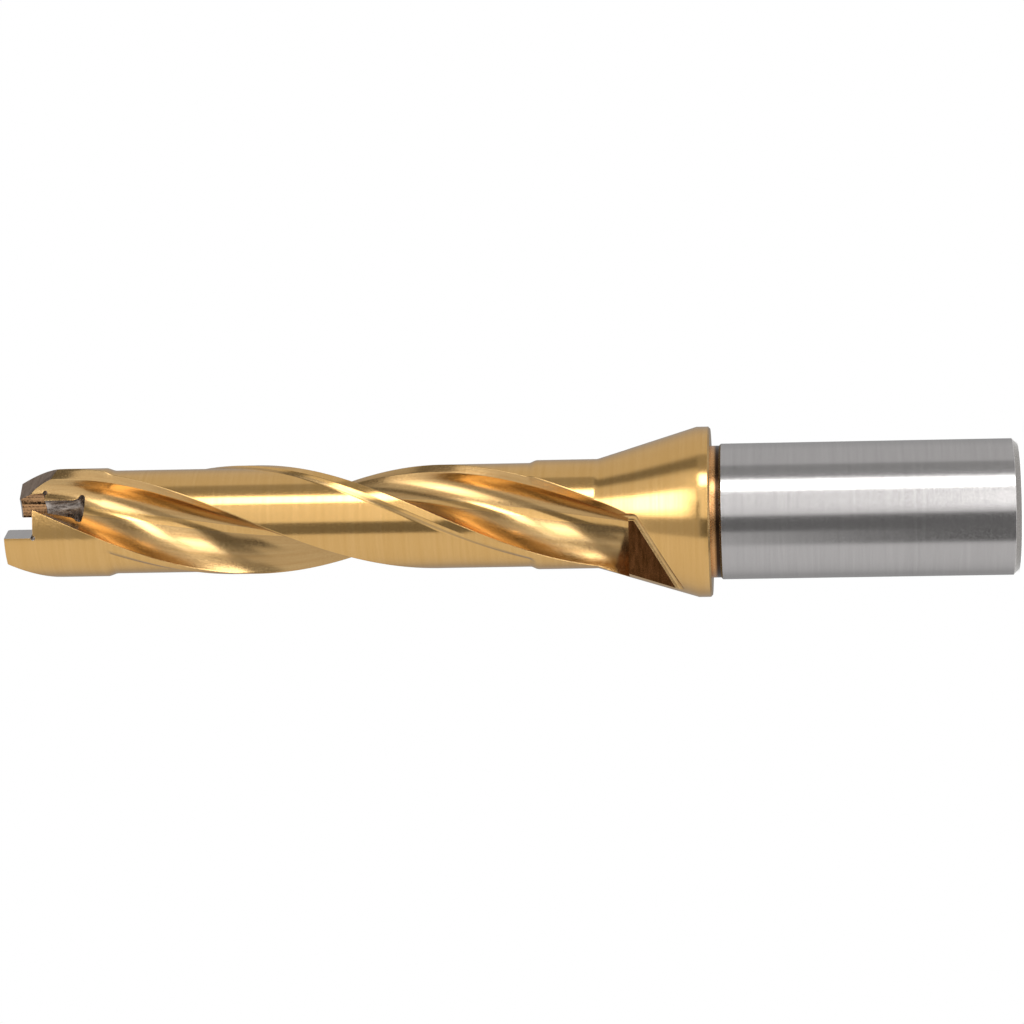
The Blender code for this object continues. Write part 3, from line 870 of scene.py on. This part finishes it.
reach = BODY_RADIUS + CLEARANCE
over_groove = SEAT_RADIUS - SEAT_GROOVE_RADIUS / 2
start = math.degrees(math.asin(DRIVE_FACE_OFFSET / over_groove))
opening = [*arc(Vector((0, 0)), over_groove, 90, start, OPEN_SIDE_STEPS)]
opening += [Vector((reach, DRIVE_FACE_OFFSET)), Vector((reach, reach)), Vector((0, reach))]
groove_start = math.sqrt(SEAT_RADIUS**2 - DRIVE_FACE_OFFSET**2)
for side in (0, 180):
    turn = LEADING_CORNER_ANGLE - DRIVE_FACE_BEHIND_CORNER + side
    place = Matrix.Rotation(math.radians(turn), 4, "Z")
    levels = (SEAT_FLOOR, TIP + CLEARANCE)
    open_side = solid("open_side", [[(*point, level) for point in opening] for level in levels], bare)
    open_side.matrix_world = place
    boolean(open_side)
    ends = [(groove_start, DRIVE_FACE_OFFSET), (reach, DRIVE_FACE_OFFSET)]
    round_groove = circle(Vector((0, 0)), DRIVE_GROOVE_RADIUS)
    rings = [[(x, y + point.x, SEAT_FLOOR + point.y) for point in round_groove] for x, y in ends]
    groove = solid("drive_groove", rings, bare)
    groove.matrix_world = place
    boolean(groove)

size = 4 * BODY_RADIUS
for side in (0, 180):
    lean = Matrix.Rotation(math.radians(90 - HEEL_FLAT_LEAN), 4, "X")
    behind = LEADING_CORNER_ANGLE + FLUTE_ANGLE + HEEL_FLAT_ANGLE
    turn = Matrix.Rotation(math.radians(behind + side), 4, "Z")
    near = WEB_THICKNESS / 2
    square = [(near, -size), (near + 2 * size, -size), (near + 2 * size, size), (near, size)]
    flat = solid("heel_flat", [[(x, y, level) for x, y in square] for level in (0, 2 * size)], heel)
    flat.matrix_world = Matrix.Translation((0, 0, TIP)) @ turn @ lean
    boolean(flat)

# Coolant duct in each land: a round hole through the steel blank, straight in the shank and turning
# with the land above it, which opens in the seat's floor. Its wall is bare.
DUCT_RADIUS = 0.0009
DUCT_CIRCLE_RADIUS = 0.0073
DUCT_BEHIND_CORNER = 15.0
DUCT_LEVELS = 72

for side in (0, 180):
    turn_at_seat = LEADING_CORNER_ANGLE - SEAT_DEPTH * TWIST - DUCT_BEHIND_CORNER + side
    rise = SEAT_FLOOR + CLEARANCE - FLUTE_END
    rings = []
    for level in (-CLEARANCE, *(FLUTE_END + rise * i / DUCT_LEVELS for i in range(DUCT_LEVELS + 1))):
        turn = turn_at_seat + (max(level, FLUTE_END) - SEAT_FLOOR) * TWIST
        ring = circle(polar(DUCT_CIRCLE_RADIUS, turn), DUCT_RADIUS)
        rings.append([(*point, level) for point in ring])
    boolean(solid("duct", rings, bare))

# The whole body as one closed mesh, with the finish of each face found from where it lies, how
# squarely it faces outward, and what cut it
WELD_DISTANCE = 0.000003
SHARP_EDGE_ANGLE = 32
LEVEL_TOLERANCE = 0.00001
END_WALL_TOLERANCE = 0.00005
POCKET_FLOOR_FACING = 0.999
SQUARE_FACING = 0.99
ROUGH_FACING = 0.9
weld = body.modifiers.new("Weld", "WELD")
weld.merge_threshold = WELD_DISTANCE
shaped = body.evaluated_get(bpy.context.evaluated_depsgraph_get())
mesh = bpy.data.meshes.new_from_object(shaped)
mesh.name = "drill_body_coated"
body.modifiers.clear()
body.data = mesh
for cutter in tools:
    bpy.data.objects.remove(cutter)
mesh.shade_smooth()
mesh.set_sharp_from_angle(angle=math.radians(SHARP_EDGE_ANGLE))

# The seat's inward walls take the steel with streaks of painted reflection
finishes = [gold, fluted, pocket_gold_painted_dark, seat_wall, bare, heel, undercut, chamfer, shank]
cut_with = [mesh.materials[polygon.material_index] or gold for polygon in mesh.polygons]
mesh.materials.clear()
for finish in finishes:
    mesh.materials.append(finish)
# Pocket floors and the walls that end the flutes take the gold that is painted dark as shade
for polygon, finish in zip(mesh.polygons, cut_with):
    level = polygon.center.z
    normal = polygon.normal
    outward = normal.xy.dot(polygon.center.xy.normalized())
    in_pocket = FLANGE_FRONT < level < FLUTE_END and abs(normal.y) > POCKET_FLOOR_FACING
    ends_flute = abs(level - FLUTE_END) < END_WALL_TOLERANCE and normal.z > SQUARE_FACING
    if level < UNDERCUT_FOOT + LEVEL_TOLERANCE:
        finish = shank if outward > SQUARE_FACING else chamfer
    elif level < SHANK_LENGTH:
        finish = undercut
    elif finish == gold and (in_pocket or ends_flute):
        finish = pocket_gold_painted_dark
    elif finish == gold and outward < ROUGH_FACING:
        finish = fluted
    elif finish == bare and level > SEAT_FLOOR:
        finish = seat_wall if outward < -ROUGH_FACING else shank
    polygon.material_index = finishes.index(finish)

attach(body, "root")
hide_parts("drill_body")

# Camera: a long lens level with the drill, which lies along the picture with its tip to the left.
# Its distance, turn and roll are fitted to the outline of the drill.
CAMERA_DISTANCE = 0.654
CAMERA_HEIGHT = 0.09292
CAMERA_SIDE = 0.00058
CAMERA_TURN = 4.65
CAMERA_ROLL = 1.0
FOCAL_PIXELS = 3531.6
PICTURE_PIXELS = 1024
SENSOR = 36.0
VIEW_LIMIT = 20

turn = math.radians(CAMERA_TURN)
roll = math.radians(CAMERA_ROLL)
down = Vector((0, 0, -1))
away = Vector((0, 1, 0))
back = down * math.sin(turn) - away * math.cos(turn)
level = down * math.cos(turn) + away * math.sin(turn)
upright = back.cross(level)
right = level * math.cos(roll) - upright * math.sin(roll)
up = level * math.sin(roll) + upright * math.cos(roll)
camera = new_object("Camera", bpy.data.cameras.new("Camera"))
camera.data.sensor_width = SENSOR
camera.data.lens = FOCAL_PIXELS * SENSOR / PICTURE_PIXELS
camera.data.clip_end = VIEW_LIMIT
camera.matrix_world = Matrix((right, up, back)).transposed().to_4x4()
camera.location = Vector((0, 0, CAMERA_HEIGHT)) + back * CAMERA_DISTANCE + up * CAMERA_SIDE
bpy.context.scene.camera = camera

# Light tent: a sphere of pale cloth round the drill, with lamps behind it and dark gaps in it. It
# doesn't show to the camera, but the metal mirrors it. Azimuth 0 is the camera's side, 90 is above.
TENT_RADIUS = 3.0
TENT_SUBDIVISIONS = 5
# Cloth: azimuth and level
CLOTH = (
    (-180, 0.30), (-140, 0.42), (-120, 0.60), (-100, 0.68), (-60, 0.72), (40, 0.72), (90, 0.60),
    (125, 0.58), (150, 0.44), (180, 0.30),
)
# Lamps and gaps: azimuth from and to, elevation from and to, softness of the sides and of the
# ends, and level. A later one lies over those before it.
PANELS = (
    (-190, 190, -95, -62, 4, 6, 0.3),
    (-50, 45, 39, 57, 8, 4, 0.9),
    (40, 130, 38, 80, 8, 4, 0.17),
    (62, 82, 6, 60, 10, 4, 0.20),
    (-6, 34, 18, 36, 10, 5, 2.2),
    (4, 31, 21, 38, 10, 6, 4.2),
    (-20, 12, -50, -30, 8, 4, 0.3),
    (18, 62, -52, -34, 8, 4, 6.0),
    (-8, 32, -34, -20, 8, 5, 0.35),
    (2, 46, -21, -9, 8, 5, 1.9),
    (0, 29, -17, -7, 6, 3, 4.4),
    (-34, 2, -21, -9, 8, 5, 0.26),
    (-60, -5, -12, -1, 8, 4, 0.08),
    (-33, 16, 11, 19, 8, 4, 0.22),
    (-7.5, 31, -8, 12, 3, 3, 0.98),
    (33, 56, -8, 12, 2, 3, 0.85),
    (57, 84, -8, 12, 3, 3, 0.33),
    (36, 52, -8, 12, 1.5, 3, 5.5),
    (-35, -9, -9, 12, 1.5, 3, 0.17),
    (-35, -9, 12, 37, 1.5, 3, 0.42),
)
bm = bmesh.new()
bmesh.ops.create_icosphere(bm, subdivisions=TENT_SUBDIVISIONS, radius=TENT_RADIUS)
tent_mesh = bpy.data.meshes.new("Light tent")
bm.to_mesh(tent_mesh)
bm.free()
tent_mesh.shade_smooth()
tent = new_object("Light tent", tent_mesh)
tent.location.z = TIP / 2
tent.visible_camera = False
lit = bpy.data.materials.new("Lit cloth with dark gaps")
lit.use_nodes = True
tree = lit.node_tree
tree.nodes.clear()
at = add_node(tree, "ShaderNodeTexCoord", {}).outputs["Object"]
at = add_node(tree, "ShaderNodeVectorMath", {0: at}, operation="NORMALIZE").outputs[0]
axes = add_node(tree, "ShaderNodeSeparateXYZ", {0: at}).outputs
toward = add_node(tree, "ShaderNodeMath", {0: axes["Y"], 1: -1.0}, operation="MULTIPLY").outputs[0]
azimuth = add_node(tree, "ShaderNodeMath", {0: axes["X"], 1: toward}, operation="ARCTAN2").outputs[0]
azimuth = add_node(tree, "ShaderNodeMath", {0: azimuth, 1: 180 / math.pi}, operation="MULTIPLY").outputs[0]
height = add_node(tree, "ShaderNodeMath", {0: axes["Z"]}, operation="ARCSINE").outputs[0]
height = add_node(tree, "ShaderNodeMath", {0: height, 1: 180 / math.pi}, operation="MULTIPLY").outputs[0]


def within(value, low, high, soft):
    """1 between two angles and 0 outside, with soft edges."""
    middle = (low + high) / 2
    off = add_node(tree, "ShaderNodeMath", {0: value, 1: middle}, operation="SUBTRACT").outputs[0]
    off = add_node(tree, "ShaderNodeMath", {0: off}, operation="ABSOLUTE").outputs[0]
    half = (high - low) / 2
    return add_node(
        tree,
        "ShaderNodeMapRange",
        {"Value": off, 1: half - soft / 2, 2: half + soft / 2, 3: 1.0, 4: 0.0},
        interpolation_type="SMOOTHSTEP",
    ).outputs[0]


share = add_node(tree, "ShaderNodeMapRange", {"Value": azimuth, 1: -180.0, 2: 180.0}).outputs[0]
cloth = add_node(tree, "ShaderNodeValToRGB", {0: share})
elements = cloth.color_ramp.elements
for degrees, strength in CLOTH[1:-1]:
    elements.new((degrees + 180) / 360)
for element, (degrees, strength) in zip(elements, CLOTH):
    element.position = (degrees + 180) / 360
    element.color = (strength, strength, strength, 1)
brightness = cloth.outputs[0]
for left, right, low, high, side_soft, end_soft, panel_level in PANELS:
    mask = add_node(
        tree,
        "ShaderNodeMath",
        {0: within(azimuth, left, right, side_soft), 1: within(height, low, high, end_soft)},
        operation="MULTIPLY",
    ).outputs[0]
    brightness = add_node(
        tree, "ShaderNodeMix", {0: mask, 2: brightness, 3: panel_level}, data_type="FLOAT"
    ).outputs[0]
glow = add_node(tree, "ShaderNodeEmission", {"Color": (1, 1, 1, 1), "Strength": brightness}).outputs[0]
add_node(tree, "ShaderNodeOutputMaterial", {0: glow})
tent_mesh.materials.append(lit)

# Floor: a small disc of white paper under the shank. It glows enough to look white beside the
# background, and keeps the shadow of the drill.
PAPER_RADIUS = 0.018
PAPER_GLOW = 0.7
PAPER_STEPS = 72
floor_mesh = bpy.data.meshes.new("Floor")
rim = [(*point, 0) for point in circle(Vector((0, 0)), PAPER_RADIUS, PAPER_STEPS)]
floor_mesh.from_pydata(rim, [], [range(PAPER_STEPS)])
floor = new_object("Floor", floor_mesh)
paper = bpy.data.materials.new("White paper, lit from behind")
paper.use_nodes = True
paper_shader = paper.node_tree.nodes["Principled BSDF"]
paper_shader.inputs["Base Color"].default_value = (0.8, 0.8, 0.8, 1)
paper_shader.inputs["Roughness"].default_value = 0.9
paper_shader.inputs["Emission Color"].default_value = (1, 1, 1, 1)
paper_shader.inputs["Emission Strength"].default_value = PAPER_GLOW
floor_mesh.materials.append(paper)

# World: white where the camera or a mirroring surface looks past the tent, and a plain level of
# light otherwise
WORLD_LIGHT = 0.6

world = bpy.data.worlds.new("White")
bpy.context.scene.world = world
world.use_nodes = True
tree = world.node_tree
tree.nodes.clear()
path = tree.nodes.new("ShaderNodeLightPath").outputs
seen = add_node(
    tree, "ShaderNodeMath", {0: path["Is Camera Ray"], 1: path["Is Glossy Ray"]}, operation="ADD"
).outputs[0]
seen = add_node(
    tree, "ShaderNodeMath", {0: seen, 1: path["Is Transmission Ray"]}, operation="ADD", use_clamp=True
).outputs[0]
strength = add_node(
    tree, "ShaderNodeMapRange", {"Value": seen, 1: 0.0, 2: 1.0, 3: WORLD_LIGHT, 4: 1.0}
).outputs[0]
sky = add_node(tree, "ShaderNodeBackground", {"Color": (1, 1, 1, 1), "Strength": strength}).outputs[0]
add_node(tree, "ShaderNodeOutputWorld", {0: sky})

bpy.context.scene.view_settings.view_transform = "Standard"
